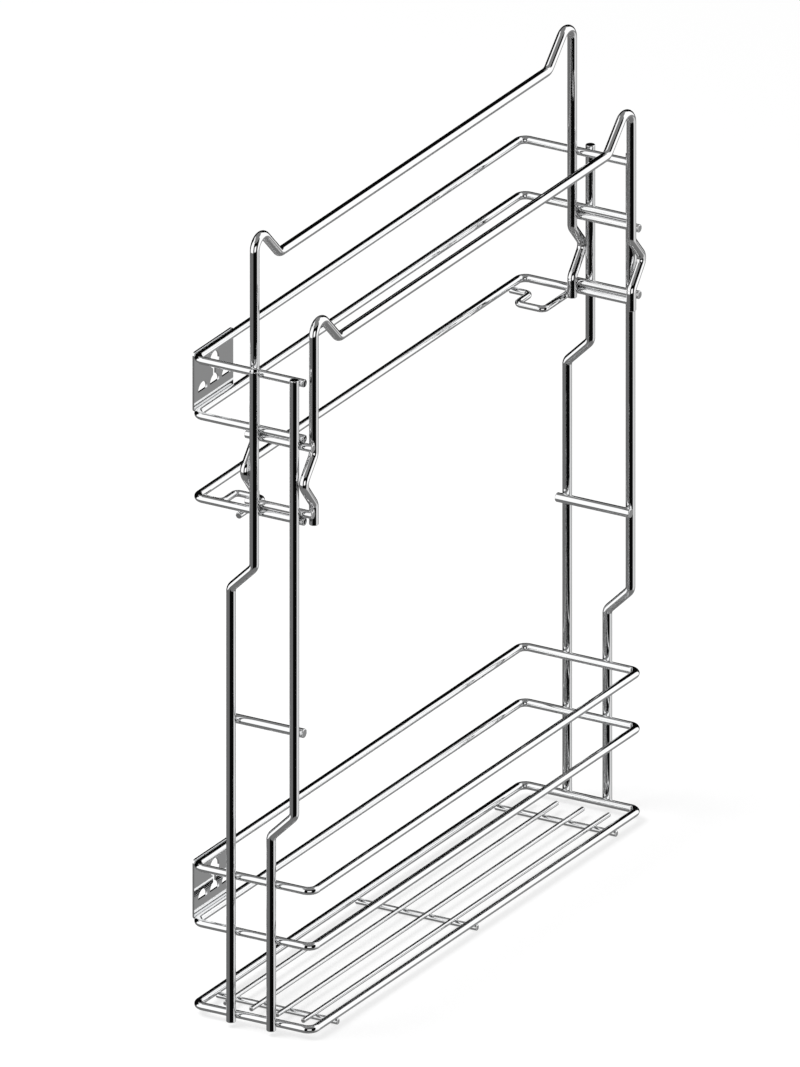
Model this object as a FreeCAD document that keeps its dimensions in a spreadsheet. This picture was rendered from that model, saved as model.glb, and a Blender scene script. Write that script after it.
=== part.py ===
# Pull-out wire rack for a narrow kitchen base cabinet: a bottle basket at the bottom, an open
# wire frame at the top and a clip-in towel carrier with two rails.
#
# Frame: +X to the right, +Y to the rear, +Z up, in millimetres. The origin is the middle of the
# rack's footprint, on the surface that it stands on.
import FreeCAD, Part

import math
import os

import Sketcher
from FreeCAD import Vector

# Driving dimensions in millimetres. Each one becomes a cell of the sheet, under its own alias.
DIMENSIONS = {
    # Wire and sheet stock
    "wire_dia": 6.0,
    "upright_dia": 7.0,
    "tie_bar_dia": 7.0,
    "rail_dia": 7.0,
    "carrier_bar_dia": 6.0,
    "stop_dia": 5.0,
    "cross_wire_dia": 4.5,
    "floor_wire_dia": 3.5,
    "plate_thickness": 1.5,
    # Rounding of the rims where a wire is cut off
    "end_round": 0.6,
    # Seam left at a weld, and play of the pieces that slide on each other
    "weld_seam": 0.02,
    "slide_play": 0.3,
    # Basket and upper frame, over the outside of their wires
    "basket_width": 102.2,
    "basket_depth": 475.0,
    "wire_bend": 6.5,
    "lower_step": 64.2,
    "upper_step": 43.1,
    "tray_pitch": 393.5,
    "return_end": 5.5,
    # Uprights
    "upright_inset": 33.4,
    "upright_spacing": 33.1,
    "upright_jog": 19.1,
    "jog_rise": 19.1,
    "left_jog_height": 342.8,
    "right_jog_height": 156.6,
    "upright_bend": 7.0,
    "upright_foot": 3.7,
    "upright_head": 4.0,
    # Tie bars
    "tie_height": 229.0,
    "tie_overhang": 4.4,
    # Basket floor
    "cross_wire_inset": 34.8,
    "cross_wire_overhang": 1.9,
    "floor_wire_pitch": 21.4,
    "floor_wire_inset": 15.0,
    # Corner stops under the upper frame
    "stop_overhang": 2.0,
    "stop_start": 13.6,
    "stop_reach": 33.5,
    "stop_shelf": 14.5,
    "stop_width": 37.2,
    "stop_tail": 2.5,
    "stop_bend": 4.0,
    # Mounting plates
    "plate_length": 56.0,
    "plate_inset": 4.0,
    "plate_rise": 2.5,
    "plate_drop": 0.5,
    "plate_corner": 2.5,
    "slot_radius": 6.5,
    "slot_pitch": 17.0,
    "slot_drop": 30.5,
    "slot_offset": 1.2,
    "keyhole_drop": 13.0,
    "keyhole_neck": 4.0,
    # Towel carrier
    "inner_clip_play": 0.3,
    "outer_clip_play": 1.4,
    "inner_rail_rise": 77.0,
    "outer_rail_rise": 21.5,
    "ramp_size": 35.0,
    "ramp_bend": 8.0,
    "peak_bend": 9.0,
    "kink_bulge": 16.2,
    "kink_top": 50.6,
    "kink_middle": 32.1,
    "kink_bottom": 12.3,
    "kink_bend": 7.0,
    "leg_foot": 3.8,
    "carrier_bar_overhang": 3.3,
}

FLOOR_WIRES = 4
PLATE_SLOTS = 3

doc = FreeCAD.newDocument("pull_out_rack")
sheet = doc.addObject("Spreadsheet::Sheet", "dims")
for row, (alias, value) in enumerate(DIMENSIONS.items(), start=1):
    sheet.set(f"A{row}", alias)
    sheet.set(f"B{row}", str(value))
    sheet.setAlias(f"B{row}", alias)
doc.recompute()


class Size:
    """A length that knows its value and the formula that gives it from the sheet."""

    def __init__(self, value, formula):
        self.value = value
        self.formula = formula

    def __add__(self, other):
        other = as_size(other)
        return Size(self.value + other.value, f"({self.formula} + {other.formula})")

    def __sub__(self, other):
        other = as_size(other)
        return Size(self.value - other.value, f"({self.formula} - {other.formula})")

    def __mul__(self, factor):
        return Size(self.value * factor, f"({self.formula} * {factor})")

    def __truediv__(self, divisor):
        return Size(self.value / divisor, f"({self.formula} / {divisor})")

    def __neg__(self):
        return self * -1


def as_size(number):
    """Take a plain number as a fixed length."""
    return number if isinstance(number, Size) else Size(number, str(number))


def dim(alias):
    """The driving dimension in one cell of the sheet."""
    return Size(DIMENSIONS[alias], f"dims.{alias}")


ZERO = as_size(0)

# Wire axes of the basket and the upper frame
wire_r = dim("wire_dia") / 2
ring_width = dim("basket_width") - dim("wire_dia")
ring_depth = dim("basket_depth") - dim("wire_dia")
left_x = (ring_width - dim("plate_thickness") - dim("weld_seam")) / -2
right_x = left_x + ring_width
front_y = ring_depth / -2
rear_y = ring_depth / 2
bottom_z = dim("cross_wire_dia") + dim("weld_seam") + wire_r
middle_z = bottom_z + dim("lower_step")
top_z = middle_z + dim("upper_step")
shelf_z = bottom_z + dim("tray_pitch")
guard_z = shelf_z + dim("lower_step")
brim_z = guard_z + dim("upper_step")

# Uprights stand outside the front and rear wires, and touch them
upright_r = dim("upright_dia") / 2
upright_out = wire_r + upright_r + dim("weld_seam")
left_upright_x = left_x + dim("upright_inset")
right_upright_x = left_upright_x + dim("upright_spacing")

# The carrier hangs inside the upper frame: bars in the plane of the wires, legs inside the bars
bar_r = dim("carrier_bar_dia") / 2
rail_r = dim("rail_dia") / 2
bar_in = bar_r - wire_r + dim("slide_play")
leg_in = bar_in + bar_r + rail_r + dim("weld_seam")
lower_bar_z = shelf_z + wire_r + bar_r + dim("slide_play")
upper_bar_z = guard_z - wire_r - bar_r - dim("slide_play")
clip_reach = upright_r + rail_r
inner_rail_x = left_upright_x + dim("upright_jog") - clip_reach - dim("inner_clip_play")
outer_rail_x = right_upright_x + dim("upright_jog") + clip_reach + dim("outer_clip_play")

parts = []


def plane(body, role):
    """One of a body's own origin planes."""
    for feature in body.Origin.OriginFeatures:
        if feature.Role == role:
            return feature
    raise ValueError(role)


def new_body(label, x, y, z):
    """An empty body at a place that follows the sheet."""
    body = doc.addObject("PartDesign::Body", label)
    body.Label = label
    for axis, size in zip("xyz", (x, y, z)):
        body.setExpression(f"Placement.Base.{axis}", as_size(size).formula)
    parts.append(body)
    return body


def new_sketch(body, name, role):
    """A sketch on one of the body's origin planes."""
    sketch = body.newObject("Sketcher::SketchObject", f"{body.Label}_{name}")
    sketch.AttachmentSupport = [(plane(body, role), "")]
    sketch.MapMode = "FlatFace"
    return sketch


def bind(sketch, kind, *arguments, size):
    """Add a dimension to a sketch and bind it to the sheet."""
    index = sketch.addConstraint(Sketcher.Constraint(kind, *arguments, size.value))
    sketch.setExpression(f"Constraints[{index}]", size.formula)


def place_point(sketch, geometry, position, u, v):
    """Place a point of a sketch at (u, v) from the sketch's origin."""
    if u.value == 0:
        sketch.addConstraint(Sketcher.Constraint("PointOnObject", geometry, position, -2))
    else:
        bind(sketch, "DistanceX", -1, 1, geometry, position, size=u)
    if v.value == 0:
        sketch.addConstraint(Sketcher.Constraint("PointOnObject", geometry, position, -1))
    else:
        bind(sketch, "DistanceY", -1, 1, geometry, position, size=v)


def draw_bend(sketch, run_in, run_out, corner, bend, ways):
    """Round the corner between two runs with a tangent arc, about a marker that stays at the corner."""
    way_in, way_out = ways
    point = Vector(corner[0].value, corner[1].value, 0)
    half_turn = math.acos(way_in.dot(way_out)) / 2
    centre = point + (way_out - way_in).normalize() * (bend.value / math.cos(half_turn))
    tangent = bend.value * math.tan(half_turn)
    left_turn = way_in.x * way_out.y > way_in.y * way_out.x
    arc_ends = [point - way_in * tangent, point + way_out * tangent]
    end_numbers = (1, 2) if left_turn else (2, 1)
    if not left_turn:
        arc_ends.reverse()
    angles = [math.atan2((end - centre).y, (end - centre).x) for end in arc_ends]
    circle = Part.Circle(centre, Vector(0, 0, 1), bend.value)
    arc = sketch.addGeometry(Part.ArcOfCircle(circle, *angles), False)
    marker = sketch.addGeometry(Part.Point(point), True)
    place_point(sketch, marker, 1, *corner)
    for run in (run_in, run_out):
        sketch.addConstraint(Sketcher.Constraint("PointOnObject", marker, 1, run))
    sketch.addConstraint(Sketcher.Constraint("Tangent", run_in, 2, arc, end_numbers[0]))
    sketch.addConstraint(Sketcher.Constraint("Tangent", arc, end_numbers[1], run_out, 1))
    bind(sketch, "Radius", arc, size=bend)


def draw_path(sketch, corners, bends, closed=False):
    """Draw straight runs from corner to corner; a corner whose bend is None stays sharp or is an end."""
    points = [Vector(u.value, v.value, 0) for u, v in corners]
    targets = points[1:] + points[:1] if closed else points[1:]
    ways = [(target - point).normalize() for point, target in zip(points, targets)]
    starts = list(points)
    ends = list(targets)
    for index, bend in enumerate(bends):
        if bend is not None:
            half_turn = math.acos(ways[index - 1].dot(ways[index])) / 2
            tangent = bend.value * math.tan(half_turn)
            ends[index - 1] = points[index] - ways[index - 1] * tangent
            starts[index] = points[index] + ways[index] * tangent
    runs = [sketch.addGeometry(Part.LineSegment(*ends_of_run), False) for ends_of_run in zip(starts, ends)]

    for index, (corner, bend) in enumerate(zip(corners, bends)):
        if bend is not None:
            draw_bend(sketch, runs[index - 1], runs[index], corner, bend, (ways[index - 1], ways[index]))
        elif index < len(runs):
            place_point(sketch, runs[index], 1, *corner)
            if closed or index > 0:
                sketch.addConstraint(Sketcher.Constraint("Coincident", runs[index - 1], 2, runs[index], 1))
        else:
            place_point(sketch, runs[-1], 2, *corner)


def draw_circle(sketch, dia):
    """A circle round the sketch's origin."""
    circle = sketch.addGeometry(Part.Circle(Vector(), Vector(0, 0, 1), dia.value / 2), False)
    sketch.addConstraint(Sketcher.Constraint("Coincident", circle, 3, -1, 1))
    bind(sketch, "Diameter", circle, size=dia)


def round_ends(body, wire):
    """Round the rims of a wire's two cut ends."""
    doc.recompute()
    caps = [face for face in wire.Shape.Faces if isinstance(face.Surface, Part.Plane)]
    rims = []
    for number, edge in enumerate(wire.Shape.Edges, start=1):
        if any(edge.isSame(rim) for cap in caps for rim in cap.Edges):
            rims.append(f"Edge{number}")
    fillet = body.newObject("PartDesign::Fillet", f"{body.Label}_ends")
    fillet.Base = (wire, rims)
    fillet.setExpression("Radius", dim("end_round").formula)
    body.Tip = fillet


def bent_wire(label, dia, place, path_role, profile_role, corners, bends, closed=False):
    """A round wire bent along a flat path that starts at its body's origin."""
    body = new_body(label, *place)
    path = new_sketch(body, "path", path_role)
    ends = [None] if closed else [None, None]
    draw_path(path, corners, ends[:1] + bends + ends[1:], closed)
    profile = new_sketch(body, "profile", profile_role)
    draw_circle(profile, dia)
    pipe = body.newObject("PartDesign::AdditivePipe", f"{label}_pipe")
    pipe.Profile = profile
    pipe.Spine = path
    body.Tip = pipe
    if not closed:
        round_ends(body, pipe)
    return body


def straight_wire(label, dia, place, profile_role, length):
    """A straight round wire, cut square at both ends."""
    body = new_body(label, *place)
    profile = new_sketch(body, "profile", profile_role)
    draw_circle(profile, dia)
    pad = body.newObject("PartDesign::Pad", f"{label}_pad")
    pad.Profile = profile
    pad.setExpression("Length", length.formula)
    pad.Reversed = profile_role == "XZ_Plane"
    body.Tip = pad
    round_ends(body, pad)
    return body


def basket_ring(label, z):
    """A closed wire ring, from the middle of its left side round to the same point."""
    half = ring_depth / 2
    corners = [
        (ZERO, ZERO),
        (ZERO, -half),
        (ring_width, -half),
        (ring_width, half),
        (ZERO, half),
    ]
    bent_wire(label, dim("wire_dia"), (left_x, ZERO, z), "XY_Plane", "XZ_Plane", corners,
              [dim("wire_bend")] * 4, closed=True)


def upper_wire(label, z):
    """A wire of the upper frame: a long left side with a return at each end, open on the right."""
    reach = ring_width - dim("return_end")
    corners = [
        (ZERO, ZERO),
        (-reach, ZERO),
        (-reach, ring_depth),
        (ZERO, ring_depth),
    ]
    bent_wire(label, dim("wire_dia"), (left_x + reach, front_y, z), "XY_Plane", "YZ_Plane", corners,
              [dim("wire_bend")] * 2)


def upright(label, x, y, jog_height):
    """An upright with a sideways jog."""
    foot = bottom_z - dim("upright_foot")
    jog_start = dim(jog_height) + dim("upright_foot") - dim("jog_rise") / 2
    jog_end = jog_start + dim("jog_rise")
    head = brim_z + dim("upright_head") - foot
    corners = [
        (ZERO, ZERO),
        (ZERO, jog_start),
        (dim("upright_jog"), jog_end),
        (dim("upright_jog"), head),
    ]
    bent_wire(label, dim("upright_dia"), (x, y, foot), "XZ_Plane", "XY_Plane", corners,
              [dim("upright_bend")] * 2)


def tie_bar(label, y):
    """A bar across two uprights, on their inner side."""
    start = left_upright_x - dim("tie_overhang")
    end = right_upright_x + dim("upright_jog") + dim("tie_overhang")
    straight_wire(label, dim("tie_bar_dia"), (start, y, bottom_z + dim("tie_height")), "YZ_Plane",
                  end - start)


def cross_wire(label, y):
    """A floor wire across the basket, under its bottom ring."""
    z = dim("cross_wire_dia") / 2
    start = left_x - dim("cross_wire_overhang")
    straight_wire(label, dim("cross_wire_dia"), (start, y, z), "YZ_Plane",
                  ring_width + dim("cross_wire_overhang") * 2)


def floor_wire(label, x):
    """A floor wire along the basket, on top of the cross wires."""
    z = dim("cross_wire_dia") + dim("weld_seam") + dim("floor_wire_dia") / 2
    straight_wire(label, dim("floor_wire_dia"), (x, front_y + dim("floor_wire_inset"), z), "XZ_Plane",
                  ring_depth - dim("floor_wire_inset") * 2)


def corner_stop(label, y, inward):
    """A cranked wire under a corner of the upper frame; inward is 1 at the front and -1 at the rear."""
    z = shelf_z - wire_r - dim("stop_dia") / 2 - dim("weld_seam")
    begin = dim("stop_overhang")
    shelf = (dim("stop_reach") - dim("stop_start")) * inward
    tail = (dim("stop_start") + dim("stop_tail")) * -inward
    corners = [
        (ZERO, ZERO),
        (begin + dim("stop_shelf"), ZERO),
        (begin + dim("stop_shelf"), shelf),
        (begin + dim("stop_width"), shelf),
        (begin + dim("stop_width"), tail),
    ]
    place = (left_x - begin, y + dim("stop_start") * inward, z)
    bent_wire(label, dim("stop_dia"), place, "XY_Plane", "YZ_Plane", corners, [dim("stop_bend")] * 3)


def towel_rail(label, x, rise):
    """A towel rail with a spring leg at each end: up from the foot, round a kink and over a peak."""
    foot_z = shelf_z - dim("leg_foot")
    foot_y = front_y + leg_in
    span = ring_depth - leg_in * 2
    rail = brim_z + dim(rise) - foot_z
    peak = rail + dim("ramp_size")
    kink_heights = [dim(name) + dim("leg_foot") for name in ("kink_bottom", "kink_middle", "kink_top")]
    kink = list(zip((ZERO, -dim("kink_bulge"), ZERO), kink_heights))
    front = [(ZERO, ZERO)] + kink + [(ZERO, peak), (dim("ramp_size"), rail)]
    rear = [(span - u, v) for u, v in reversed(front)]
    leg_bends = [dim("kink_bend")] * 3 + [dim("peak_bend"), dim("ramp_bend")]
    bent_wire(label, dim("rail_dia"), (x, foot_y, foot_z), "YZ_Plane", "XY_Plane", front + rear,
              leg_bends + leg_bends[::-1])


def carrier_bar(label, y, z):
    """A bar that joins the two legs at one end of the carrier, and runs under or over a frame wire."""
    start = inner_rail_x - dim("carrier_bar_overhang")
    end = outer_rail_x + dim("carrier_bar_overhang")
    straight_wire(label, dim("carrier_bar_dia"), (start, y, z), "YZ_Plane", end - start)


def pocket(body, sketch, name):
    """Cut a sketch right through the body, both ways."""
    cut = body.newObject("PartDesign::Pocket", f"{body.Label}_{name}")
    cut.Profile = sketch
    cut.Type = "ThroughAll"
    cut.Midplane = True
    return cut


def draw_half_disc(sketch, u, v, radius):
    """The upper half of a disc, with its flat side centred at (u, v)."""
    centre = Vector(u.value, v.value, 0)
    circle = Part.Circle(centre, Vector(0, 0, 1), radius.value)
    arc = sketch.addGeometry(Part.ArcOfCircle(circle, 0, math.pi), False)
    flat = sketch.addGeometry(
        Part.LineSegment(centre - Vector(radius.value, 0, 0), centre + Vector(radius.value, 0, 0)), False)
    place_point(sketch, arc, 3, u, v)
    bind(sketch, "Radius", arc, size=radius)
    sketch.addConstraint(Sketcher.Constraint("Coincident", arc, 2, flat, 1))
    sketch.addConstraint(Sketcher.Constraint("Coincident", arc, 1, flat, 2))
    sketch.addConstraint(Sketcher.Constraint("Horizontal", flat))
    sketch.addConstraint(Sketcher.Constraint("PointOnObject", arc, 3, flat))


def draw_rectangle(sketch, u_low, v_low, u_high, v_high):
    """An upright rectangle between two opposite corners."""
    corners = [(u_low, v_low), (u_high, v_low), (u_high, v_high), (u_low, v_high)]
    points = [Vector(u.value, v.value, 0) for u, v in corners]
    edges = []
    for start, end in zip(points, points[1:] + points[:1]):
        edges.append(sketch.addGeometry(Part.LineSegment(start, end), False))
    for edge, following in zip(edges, edges[1:] + edges[:1]):
        sketch.addConstraint(Sketcher.Constraint("Coincident", edge, 2, following, 1))
    for index, kind in enumerate(["Horizontal", "Vertical"] * 2):
        sketch.addConstraint(Sketcher.Constraint(kind, edges[index]))
    place_point(sketch, edges[0], 1, u_low, v_low)
    place_point(sketch, edges[2], 1, u_high, v_high)


def mounting_plate(label, z):
    """A flat sheet plate welded on outside two of the left wires; z is the upper one's."""
    inner_x = left_x - wire_r - dim("weld_seam")
    upper_wire_z = dim("upper_step") + dim("plate_drop")
    body = new_body(label, inner_x, front_y + dim("plate_inset"), z - upper_wire_z)

    outline = new_sketch(body, "outline", "YZ_Plane")
    length = dim("plate_length")
    edge = upper_wire_z + dim("plate_rise")
    corners = [(ZERO, ZERO), (length, ZERO), (length, edge), (ZERO, edge)]
    draw_path(outline, corners, [dim("plate_corner")] * 4, closed=True)
    sheet_pad = body.newObject("PartDesign::Pad", f"{label}_sheet")
    sheet_pad.Profile = outline
    sheet_pad.setExpression("Length", dim("plate_thickness").formula)
    sheet_pad.Reversed = True

    middle = length / 2 + dim("slot_offset")
    slot_z = upper_wire_z - dim("slot_drop")
    slot = new_sketch(body, "slot", "YZ_Plane")
    draw_half_disc(slot, middle - dim("slot_pitch"), slot_z, dim("slot_radius"))
    slot_cut = pocket(body, slot, "slot_cut")
    doc.recompute()
    row = body.newObject("PartDesign::LinearPattern", f"{label}_slots")
    row.Originals = [slot_cut]
    row.Direction = (slot, ["H_Axis"])
    row.setExpression("Length", (dim("slot_pitch") * (PLATE_SLOTS - 1)).formula)
    row.Occurrences = PLATE_SLOTS
    body.Tip = row
    doc.recompute()

    keyhole_z = upper_wire_z - dim("keyhole_drop")
    keyhole = new_sketch(body, "keyhole", "YZ_Plane")
    centre = Vector(middle.value, keyhole_z.value, 0)
    circle = Part.Circle(centre, Vector(0, 0, 1), dim("slot_radius").value)
    hole = keyhole.addGeometry(circle, False)
    place_point(keyhole, hole, 3, middle, keyhole_z)
    bind(keyhole, "Radius", hole, size=dim("slot_radius"))
    body.Tip = pocket(body, keyhole, "keyhole_cut")

    neck = new_sketch(body, "neck", "YZ_Plane")
    half_neck = dim("keyhole_neck") / 2
    draw_rectangle(neck, middle - half_neck, slot_z, middle + half_neck, keyhole_z)
    body.Tip = pocket(body, neck, "neck_cut")
    return body


# Bottle basket
basket_ring("basket_bottom_ring", bottom_z)
basket_ring("basket_middle_ring", middle_z)
basket_ring("basket_top_ring", top_z)
cross_wire("front_cross_wire", front_y + dim("cross_wire_inset"))
cross_wire("middle_cross_wire", ZERO)
cross_wire("rear_cross_wire", rear_y - dim("cross_wire_inset"))
for number in range(FLOOR_WIRES):
    steps = number - (FLOOR_WIRES - 1) / 2
    floor_wire(f"floor_wire_{number + 1}", (left_x + right_x) / 2 + dim("floor_wire_pitch") * steps)

# Upper frame
upper_wire("upper_shelf_wire", shelf_z)
upper_wire("upper_guard_wire", guard_z)
upper_wire("upper_brim_wire", brim_z)
corner_stop("front_corner_stop", front_y, 1)
corner_stop("rear_corner_stop", rear_y, -1)

# Uprights and tie bars
for end, y, inward in (("front", front_y, 1), ("rear", rear_y, -1)):
    upright_y = y - upright_out * inward
    upright(f"{end}_left_upright", left_upright_x, upright_y, "left_jog_height")
    upright(f"{end}_right_upright", right_upright_x, upright_y, "right_jog_height")
    tie_reach = upright_r + dim("tie_bar_dia") / 2 + dim("weld_seam")
    tie_bar(f"{end}_tie_bar", upright_y + tie_reach * inward)

# Mounting plates
mounting_plate("upper_mounting_plate", brim_z)
mounting_plate("lower_mounting_plate", top_z)

# Towel carrier
towel_rail("inner_towel_rail", inner_rail_x, "inner_rail_rise")
towel_rail("outer_towel_rail", outer_rail_x, "outer_rail_rise")
for end, y, inward in (("front", front_y, 1), ("rear", rear_y, -1)):
    bar_y = y + bar_in * inward
    carrier_bar(f"{end}_upper_carrier_bar", bar_y, upper_bar_z)
    carrier_bar(f"{end}_lower_carrier_bar", bar_y, lower_bar_z)

doc.recompute()

for item in doc.Objects:
    if "Invalid" in item.State or "Error" in item.State:
        raise RuntimeError(f"{item.Label} failed: {item.State}")
os.makedirs("parts", exist_ok=True)
for body in parts:
    if body.Shape.isNull() or not body.Shape.isValid() or len(body.Shape.Solids) != 1:
        raise RuntimeError(f"{body.Label} is not one valid solid")
for body in parts:
    body.Shape.exportStep(f"parts/{body.Label}.step")
    print(f"{body.Label}: {body.Shape.Volume:.1f} mm3")
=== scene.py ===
"""Looks of the pull-out wire rack: polished chrome wire with weld beads, in a white studio."""

import math

import bmesh
import bpy
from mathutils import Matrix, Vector


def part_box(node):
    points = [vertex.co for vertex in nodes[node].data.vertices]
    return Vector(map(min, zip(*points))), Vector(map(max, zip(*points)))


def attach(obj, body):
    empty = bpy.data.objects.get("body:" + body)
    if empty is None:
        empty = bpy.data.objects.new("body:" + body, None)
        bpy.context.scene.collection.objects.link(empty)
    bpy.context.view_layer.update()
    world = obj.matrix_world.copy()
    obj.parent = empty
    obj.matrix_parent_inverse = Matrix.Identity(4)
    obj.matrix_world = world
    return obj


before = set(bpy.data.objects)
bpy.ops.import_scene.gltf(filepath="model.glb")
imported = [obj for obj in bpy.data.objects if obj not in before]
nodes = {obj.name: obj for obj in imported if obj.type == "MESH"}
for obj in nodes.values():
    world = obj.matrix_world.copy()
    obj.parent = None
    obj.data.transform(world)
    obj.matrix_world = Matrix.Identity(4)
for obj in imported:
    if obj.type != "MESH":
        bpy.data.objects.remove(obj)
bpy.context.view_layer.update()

MM = 0.001

# Axes of the frame, and the two ends of a box along one of them
X, Y, Z = range(3)
LOW, HIGH = range(2)

# Camera: a parallel view, as in the photograph, whose picture is 800 by 1067 pixels
PICTURE_HEIGHT = 1067
PIXELS_PER_METRE = 1398.8
CAMERA_AZIMUTH = math.radians(29.9)
CAMERA_ELEVATION = math.radians(22.82)
CAMERA_TARGET = Vector((0.0007, -0.0242, 0.3063))
CAMERA_DISTANCE = 2.5

# Brightness of the world to the camera, and to rays that neither it nor a mirror sends out
BACKDROP = 1.0
FILL_LIGHT = 0.75
WHITE = (1, 1, 1, 1)

# Brightness of what the chrome mirrors
SOFTBOX = 1.16
BLACK_FLAG = 0.003
CEILING = 0.22
FLOOR_LEFT = 0.16
FLOOR_REAR = 0.28
FLOOR_RIGHT = 0.72
FLOOR_NEAR = 0.19

# Where it lies, in degrees: heights are elevations, and sides and spans are bearings
# from the front (plus is right) or, for what is at the rear, from the rear (plus is left)
HORIZON = -17
NEAR_FLOOR = -37
CEILING_EDGE = 58.5
CEILING_FRONT = (-30, 103)
CEILING_REAR = (-7, 85)
FLOOR_RIGHT_SPAN = (82, 143)
FLOOR_REAR_SPAN = (-37, 32)
FRONT_FLAG_SIDES = (-5, 94)
FRONT_FLAG_HEIGHTS = (-36, 43)
FRONT_WINDOW_SIDES = (22, 57)
FRONT_WINDOW_HEIGHTS = (-12, 17)
REAR_FLAG_SIDES = (-13, 106)
REAR_FLAG_HEIGHTS = (-20, 41)

# How far a flag's far side leans out for each degree that it rises, and how soft edges are, in degrees
FLAG_LEAN = 0.22
EDGE = 2.0
NEAR_FLOOR_EDGE = 6.0

# Floor and lamp, in metres and watts
FLOOR_SIZE = 9.0
FLOOR_PAINT = (0.95, 0.95, 0.95, 1)
FLOOR_GLOW = 0.7
LAMP_SIZE = 1.6
LAMP_POWER = 56
LAMP_PLACE = Vector((-1.2, -0.9, 2.4))

# Chrome: clouds in its tone, specks in its gloss and ripples in its ground
CLOUD_SCALE = 70.0
CLOUD_DETAIL = 4.0
CLOUD_SHADE = 0.965
SPECK_SCALE = 900.0
SPECK_DETAIL = 3.0
RIPPLE_SCALE = 120.0
RIPPLE_DETAIL = 1.0
RIPPLE_STRENGTH = 0.01
RIPPLE_HEIGHT = 0.2 * MM

# Welds: the toe as a share of the thinner wire's radius, the waist as a share of the toe,
# and how deep the bead sinks into the wire
WELD_SIDES = 24
WELD_RINGS = 9
WELD_TOE = 0.62
WELD_WAIST = 0.7
WELD_SINK = 0.15 * MM

# Distance of a corner stop's first run from the end of the shelf wire
STOP_START = 13.6 * MM

# Each end of the rack: its name, its end along Y and which way is inward
ENDS = (("front", LOW, 1), ("rear", HIGH, -1))
BASKET_RINGS = ("basket_bottom_ring", "basket_middle_ring", "basket_top_ring")
UPPER_WIRES = ("upper_shelf_wire", "upper_guard_wire", "upper_brim_wire")
CROSS_WIRES = ("front_cross_wire", "middle_cross_wire", "rear_cross_wire")
TOWEL_RAILS = ("inner_towel_rail", "outer_towel_rail")

# A mix node's sockets by the kind of value: the inputs for share, first and second, and the output
MIX_SOCKETS = {"FLOAT": ((0, 2, 3), 0), "RGBA": ((0, 6, 7), 2)}


class Graph:
    """A node tree, with short calls; any input takes a value or another node's output."""

    def __init__(self, tree):
        self.tree = tree
        tree.nodes.clear()

    def node(self, kind, settings=None, **inputs):
        """Add a node, set its properties and feed its inputs, with _ for a space in a socket's name."""
        made = self.tree.nodes.new(kind)
        for name, value in (settings or {}).items():
            setattr(made, name, value)
        for name, value in inputs.items():
            self.feed(made.inputs[name.replace("_", " ")], value)
        return made

    def feed(self, socket, value):
        """Link an output to a socket, or set the socket's own value."""
        if isinstance(value, bpy.types.NodeSocket):
            self.tree.links.new(value, socket)
        else:
            socket.default_value = value

    def math(self, operation, *values):
        """A sum, product or other operation on one or two values."""
        made = self.node("ShaderNodeMath", {"operation": operation})
        for socket, value in zip(made.inputs, values):
            self.feed(socket, value)
        return made.outputs[0]

    def step(self, value, middle, softness):
        """0 below the middle and 1 above it, with a smooth edge."""
        made = self.node("ShaderNodeMapRange", {"interpolation_type": "SMOOTHSTEP"}, Value=value,
                         From_Min=middle - softness, From_Max=middle + softness)
        return made.outputs["Result"]

    def window(self, value, low, high, softness):
        """1 between two limits and 0 outside, with smooth edges."""
        return self.math("SUBTRACT", self.step(value, low, softness), self.step(value, high, softness))

    def blend(self, share, first, second, kind="FLOAT"):
        """The first value where the share is 0, and the second where it is 1."""
        made = self.node("ShaderNodeMix", {"data_type": kind})
        inputs, output = MIX_SOCKETS[kind]
        for number, value in zip(inputs, (share, first, second)):
            self.feed(made.inputs[number], value)
        return made.outputs[output]

    def shader_blend(self, share, first, second):
        """The first shader where the share is 0, and the second where it is 1."""
        made = self.node("ShaderNodeMixShader", Fac=share)
        self.feed(made.inputs[1], first)
        self.feed(made.inputs[2], second)
        return made.outputs[0]

    def noise(self, place, scale, detail):
        """Cloudy noise, from 0 to 1."""
        return self.node("ShaderNodeTexNoise", Vector=place, Scale=scale, Detail=detail).outputs[0]


def add_object(name, data):
    """Put a new object into the scene."""
    made = bpy.data.objects.new(name, data)
    bpy.context.scene.collection.objects.link(made)
    return made


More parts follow.
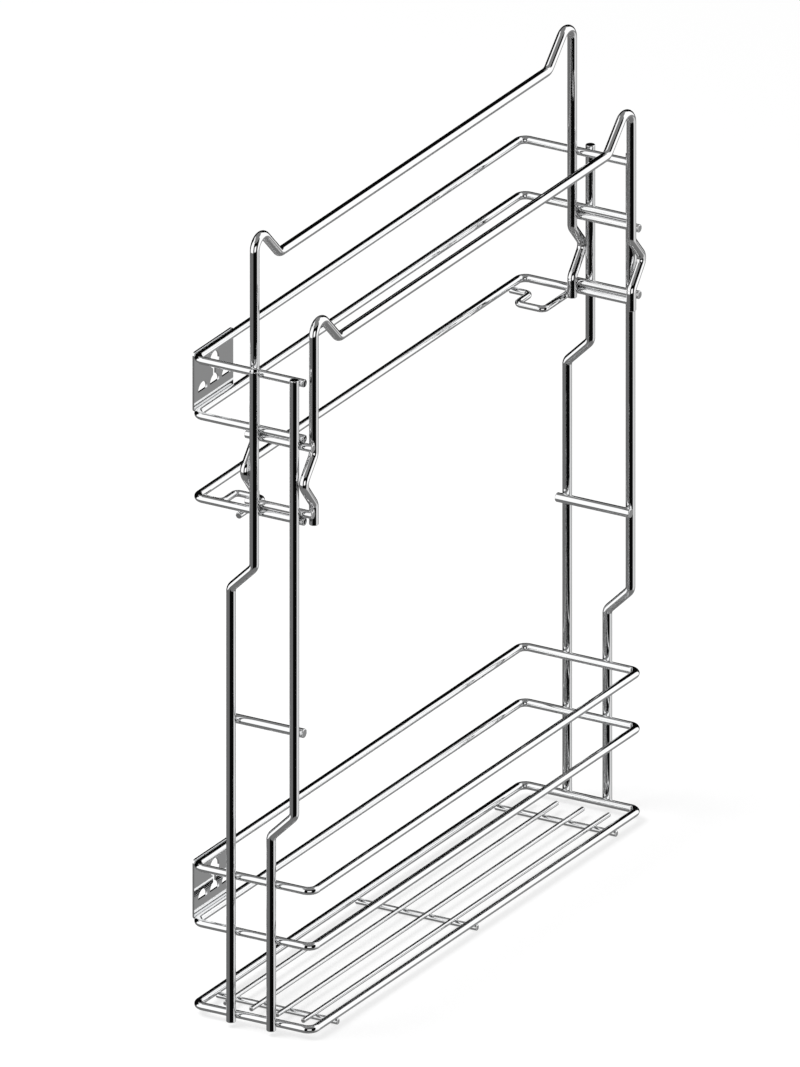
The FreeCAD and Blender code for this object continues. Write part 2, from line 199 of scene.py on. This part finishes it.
def studio_world():
    """White to the camera; to the chrome, softboxes with two black flags, and a grey ceiling and floor."""
    world = bpy.data.worlds.new("studio")
    world.use_nodes = True
    bpy.context.scene.world = world
    graph = Graph(world.node_tree)

    direction = graph.node("ShaderNodeTexCoord").outputs["Generated"]
    right, back, up = graph.node("ShaderNodeSeparateXYZ", Vector=direction).outputs
    left = graph.math("MULTIPLY", right, -1)
    ahead = graph.math("MULTIPLY", back, -1)
    from_front = graph.math("DEGREES", graph.math("ARCTAN2", right, ahead))
    from_rear = graph.math("DEGREES", graph.math("ARCTAN2", left, back))
    elevation = graph.math("DEGREES", graph.math("ARCSINE", up))

    floor = graph.blend(graph.window(from_front, *FLOOR_RIGHT_SPAN, EDGE), FLOOR_LEFT, FLOOR_RIGHT)
    floor = graph.blend(graph.window(from_rear, *FLOOR_REAR_SPAN, EDGE), floor, FLOOR_REAR)
    floor = graph.blend(graph.step(elevation, NEAR_FLOOR, NEAR_FLOOR_EDGE), FLOOR_NEAR, floor)
    mirrored = graph.blend(graph.step(elevation, HORIZON, EDGE), floor, SOFTBOX)

    over_front = graph.math("MULTIPLY", graph.window(from_front, *CEILING_FRONT, EDGE),
                            graph.step(elevation, FRONT_FLAG_HEIGHTS[HIGH], EDGE))
    over_rear = graph.math("MULTIPLY", graph.window(from_rear, *CEILING_REAR, EDGE),
                           graph.step(elevation, REAR_FLAG_HEIGHTS[HIGH], EDGE))
    ceiling = graph.math("MAXIMUM", graph.math("MAXIMUM", over_front, over_rear),
                         graph.step(elevation, CEILING_EDGE, EDGE))
    mirrored = graph.blend(ceiling, mirrored, CEILING)

    def flag(bearing, sides, heights):
        """Where a black flag is, whose far side leans out as it rises."""
        leaning = graph.math("SUBTRACT", bearing, graph.math("MULTIPLY", elevation, FLAG_LEAN))
        across = graph.math("MULTIPLY", graph.step(bearing, sides[LOW], EDGE),
                            graph.math("SUBTRACT", 1, graph.step(leaning, sides[HIGH], EDGE)))
        return graph.math("MULTIPLY", across, graph.window(elevation, *heights, EDGE))

    opening = graph.math("MULTIPLY", graph.window(from_front, *FRONT_WINDOW_SIDES, EDGE),
                         graph.window(elevation, *FRONT_WINDOW_HEIGHTS, EDGE))
    front_flag = graph.math("SUBTRACT", flag(from_front, FRONT_FLAG_SIDES, FRONT_FLAG_HEIGHTS), opening)
    rear_flag = flag(from_rear, REAR_FLAG_SIDES, REAR_FLAG_HEIGHTS)
    mirrored = graph.blend(graph.math("MAXIMUM", front_flag, rear_flag), mirrored, BLACK_FLAG)

    path = graph.node("ShaderNodeLightPath")
    strength = graph.blend(path.outputs["Is Glossy Ray"], FILL_LIGHT, mirrored)
    strength = graph.blend(path.outputs["Is Camera Ray"], strength, BACKDROP)
    light = graph.node("ShaderNodeBackground", Color=WHITE, Strength=strength)
    graph.node("ShaderNodeOutputWorld", Surface=light.outputs[0])


def floor_material():
    """White paint with a glow to the camera; mirrored rays pass through it."""
    material = bpy.data.materials.new("floor_white")
    material.use_nodes = True
    graph = Graph(material.node_tree)
    path = graph.node("ShaderNodeLightPath")
    paint = graph.node("ShaderNodeBsdfDiffuse", Color=FLOOR_PAINT).outputs[0]
    glow = graph.node("ShaderNodeEmission", Color=WHITE).outputs[0]
    clear = graph.node("ShaderNodeBsdfTransparent").outputs[0]
    bright = graph.math("MULTIPLY", path.outputs["Is Camera Ray"], FLOOR_GLOW)
    lit = graph.shader_blend(bright, paint, glow)
    shown = graph.shader_blend(path.outputs["Is Glossy Ray"], lit, clear)
    graph.node("ShaderNodeOutputMaterial", Surface=shown)
    return material


def studio_floor():
    """A plain white floor that keeps the rack's soft shadow."""
    half = FLOOR_SIZE / 2
    mesh = bpy.data.meshes.new("studio_floor")
    rim = [(-half, -half, 0), (half, -half, 0), (half, half, 0), (-half, half, 0)]
    mesh.from_pydata(rim, [], [(0, 1, 2, 3)])
    mesh.materials.append(floor_material())
    floor = add_object("studio_floor", mesh)


def studio_lamp():
    """One wide soft lamp, high on the left."""
    lamp = bpy.data.lights.new("softbox", "AREA")
    lamp.shape = "DISK"
    lamp.size = LAMP_SIZE
    lamp.energy = LAMP_POWER
    holder = add_object("softbox", lamp)
    holder.location = LAMP_PLACE
    holder.rotation_euler = (CAMERA_TARGET - LAMP_PLACE).to_track_quat("-Z", "Y").to_euler()
    holder.visible_glossy = False


def photo_camera():
    """A parallel camera at the photograph's angle."""
    flat = math.cos(CAMERA_ELEVATION)
    away = Vector((
        math.sin(CAMERA_AZIMUTH) * flat,
        -math.cos(CAMERA_AZIMUTH) * flat,
        math.sin(CAMERA_ELEVATION),
    ))
    lens = bpy.data.cameras.new("camera")
    lens.type = "ORTHO"
    lens.ortho_scale = PICTURE_HEIGHT / PIXELS_PER_METRE
    camera = add_object("camera", lens)
    camera.location = CAMERA_TARGET + away * CAMERA_DISTANCE
    camera.rotation_euler = away.to_track_quat("Z", "Y").to_euler()
    bpy.context.scene.camera = camera


def chrome(name, tint, roughness):
    """Polished chrome plate: clouded a little in tone and gloss, over a faintly uneven ground."""
    material = bpy.data.materials.new(name)
    material.use_nodes = True
    graph = Graph(material.node_tree)
    place = graph.node("ShaderNodeTexCoord").outputs["Object"]

    shade = tuple(CLOUD_SHADE * part for part in tint)
    cloud = graph.noise(place, CLOUD_SCALE, CLOUD_DETAIL)
    tone = graph.blend(cloud, (*shade, 1), (*tint, 1), kind="RGBA")

    speck = graph.noise(place, SPECK_SCALE, SPECK_DETAIL)
    gloss = graph.node("ShaderNodeMapRange", Value=speck, To_Min=roughness[LOW], To_Max=roughness[HIGH])

    ripple = graph.noise(place, RIPPLE_SCALE, RIPPLE_DETAIL)
    bump = graph.node("ShaderNodeBump", Strength=RIPPLE_STRENGTH, Distance=RIPPLE_HEIGHT, Height=ripple)

    metal = graph.node("ShaderNodeBsdfPrincipled", Metallic=1.0, Base_Color=tone,
                       Roughness=gloss.outputs["Result"], Normal=bump.outputs[0])
    graph.node("ShaderNodeOutputMaterial", Surface=metal.outputs[0])
    return material


def along(axis, sign=1):
    """The direction of an axis of the frame."""
    way = Vector((0, 0, 0))
    way[axis] = sign
    return way


def corners(node):
    """A node's lowest and highest corner."""
    return [Vector(corner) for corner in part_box(node)]


class Wire:
    """A straight run of wire along one axis of the frame: a point on its middle line, and its radius."""

    def __init__(self, point, axis, radius):
        self.point = Vector(point)
        self.axis = axis
        self.radius = radius

    def drop(self, offset):
        """How far the wire's surface falls away from its highest line, at an offset from that line."""
        way = along(self.axis)
        beside = (offset - way * offset.dot(way)).length
        return self.radius - math.sqrt(max(self.radius ** 2 - beside ** 2, 0))


def bar(node, axis):
    """The wire of a straight node along one axis."""
    low, high = corners(node)
    return Wire((low + high) / 2, axis, min(high - low) / 2)


def ring_run(node, axis, end):
    """A ring's or upper wire's run across an axis, X or Y, at the low or high end of that axis."""
    box = corners(node)
    radius = (box[HIGH].z - box[LOW].z) / 2
    point = (box[LOW] + box[HIGH]) / 2
    point[axis] = box[end][axis] + (radius if end == LOW else -radius)
    return Wire(point, X if axis == Y else Y, radius)


def upright_run(node, above_jog):
    """An upright's run under or over its jog."""
    low, high = corners(node)
    radius = (high.y - low.y) / 2
    x = high.x - radius if above_jog else low.x + radius
    return Wire((x, (low.y + high.y) / 2, (low.z + high.z) / 2), Z, radius)


def contact(one, other, axis):
    """Where two crossing wires touch, and which way the second lies; they are apart along the axis."""
    touch = one.point.copy()
    touch[one.axis] = other.point[one.axis]
    gap = other.point[axis] - one.point[axis]
    side = math.copysign(1, gap)
    seam = abs(gap) - one.radius - other.radius
    touch[axis] = one.point[axis] + side * (one.radius + seam / 2)
    return touch, along(axis, side)


def weld(mesh, one, other, axis):
    """Add a weld's bead to a mesh: a fillet round the place where two wires touch, sunk into both."""
    touch, normal = contact(one, other, axis)
    first = Vector((normal.y, normal.z, normal.x))
    second = normal.cross(first)
    toe = WELD_TOE * min(one.radius, other.radius)
    rings = []
    for row in range(WELD_RINGS):
        rise = 2 * row / (WELD_RINGS - 1) - 1
        wire = one if rise < 0 else other
        width = WELD_WAIST + (1 - WELD_WAIST) * rise ** 2
        ring = []
        for side in range(WELD_SIDES):
            angle = 2 * math.pi * side / WELD_SIDES
            foot = (first * math.cos(angle) + second * math.sin(angle)) * toe
            height = rise * (wire.drop(foot) + WELD_SINK)
            ring.append(mesh.verts.new(touch + foot * width + normal * height))
        rings.append(ring)
    for lower, upper in zip(rings, rings[1:]):
        for side in range(WELD_SIDES):
            after = (side + 1) % WELD_SIDES
            mesh.faces.new((lower[side], lower[after], upper[after], upper[side]))
    mesh.faces.new(rings[0][::-1])
    mesh.faces.new(rings[-1])


def weld_piece(name, body, joints):
    """One piece with the beads of several welds, on a body."""
    mesh = bmesh.new()
    for joint in joints:
        weld(mesh, *joint)
    bmesh.ops.recalc_face_normals(mesh, faces=mesh.faces)
    data = bpy.data.meshes.new(name)
    mesh.to_mesh(data)
    mesh.free()
    data.shade_smooth()
    data.materials.append(materials["weld"])
    piece = add_object(name, data)
    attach(piece, body)


def upright_welds(end, place):
    """The welds of one end's two uprights, to the basket's rings, the upper wires and the tie bar."""
    tie = bar(f"{end}_tie_bar", X)
    for side in ("left", "right"):
        upright = f"{end}_{side}_upright"
        foot = upright_run(upright, above_jog=False)
        head = upright_run(upright, above_jog=True)
        joints = [(foot, ring_run(ring, Y, place), Y) for ring in BASKET_RINGS]
        joints += [(head, ring_run(wire, Y, place), Y) for wire in UPPER_WIRES]
        joints.append((foot if side == "left" else head, tie, Y))
        weld_piece(f"{upright}_welds", "rack", joints)


def corner_stop_welds(end, place, inward):
    """The welds of a corner stop's first run and of its tail, under the shelf wire."""
    stop = f"{end}_corner_stop"
    shelf_side = ring_run("upper_shelf_wire", X, LOW)
    shelf_end = ring_run("upper_shelf_wire", Y, place)
    low, high = corners(stop)
    radius = (high.z - low.z) / 2
    start = Wire((0, shelf_end.point.y + STOP_START * inward, low.z + radius), X, radius)
    tail = Wire((high.x - radius, 0, low.z + radius), Y, radius)
    weld_piece(f"{stop}_welds", "rack", [(start, shelf_side, Z), (tail, shelf_end, Z)])


def cross_wire_welds(cross):
    """The welds of a cross wire, to the bottom ring's long sides and the floor wires."""
    wire = bar(cross, X)
    joints = [(wire, ring_run("basket_bottom_ring", X, end), Z) for end in (LOW, HIGH)]
    joints += [(wire, bar(node, Y), Z) for node in nodes if node.startswith("floor_wire")]
    weld_piece(f"{cross}_welds", "rack", joints)


def carrier_welds(end, inward):
    """The welds between the towel rails' legs and the bars, at one end."""
    joints = []
    for level in ("upper", "lower"):
        cross = bar(f"{end}_{level}_carrier_bar", X)
        for rail in TOWEL_RAILS:
            low, high = corners(rail)
            radius = (high.x - low.x) / 2
            beside = cross.point.y + (cross.radius + radius) * inward
            joints.append((cross, Wire(((low.x + high.x) / 2, beside, 0), Z, radius), Y))
    weld_piece(f"{end}_carrier_welds", "towel_carrier", joints)


materials = {
    "chrome_wire": chrome("wire_chrome", tint=(0.885, 0.89, 0.895), roughness=(0.012, 0.03)),
    "chrome_upright": chrome("upright_chrome", tint=(0.88, 0.885, 0.89), roughness=(0.012, 0.03)),
    "chrome_carrier": chrome("carrier_chrome", tint=(0.89, 0.89, 0.893), roughness=(0.01, 0.028)),
    "chrome_sheet": chrome("sheet_chrome", tint=(0.875, 0.88, 0.885), roughness=(0.006, 0.013)),
    "weld": chrome("weld_chrome", tint=(0.87, 0.875, 0.88), roughness=(0.03, 0.08)),
}
for node in nodes.values():
    for slot in node.material_slots:
        slot.material = materials[slot.material.name]

for end, place, inward in ENDS:
    upright_welds(end, place)
    corner_stop_welds(end, place, inward)
for cross in CROSS_WIRES:
    cross_wire_welds(cross)
for end, place, inward in ENDS:
    carrier_welds(end, inward)

studio_world()
studio_floor()
studio_lamp()
photo_camera()

view = bpy.context.scene.view_settings
view.view_transform = "Standard"
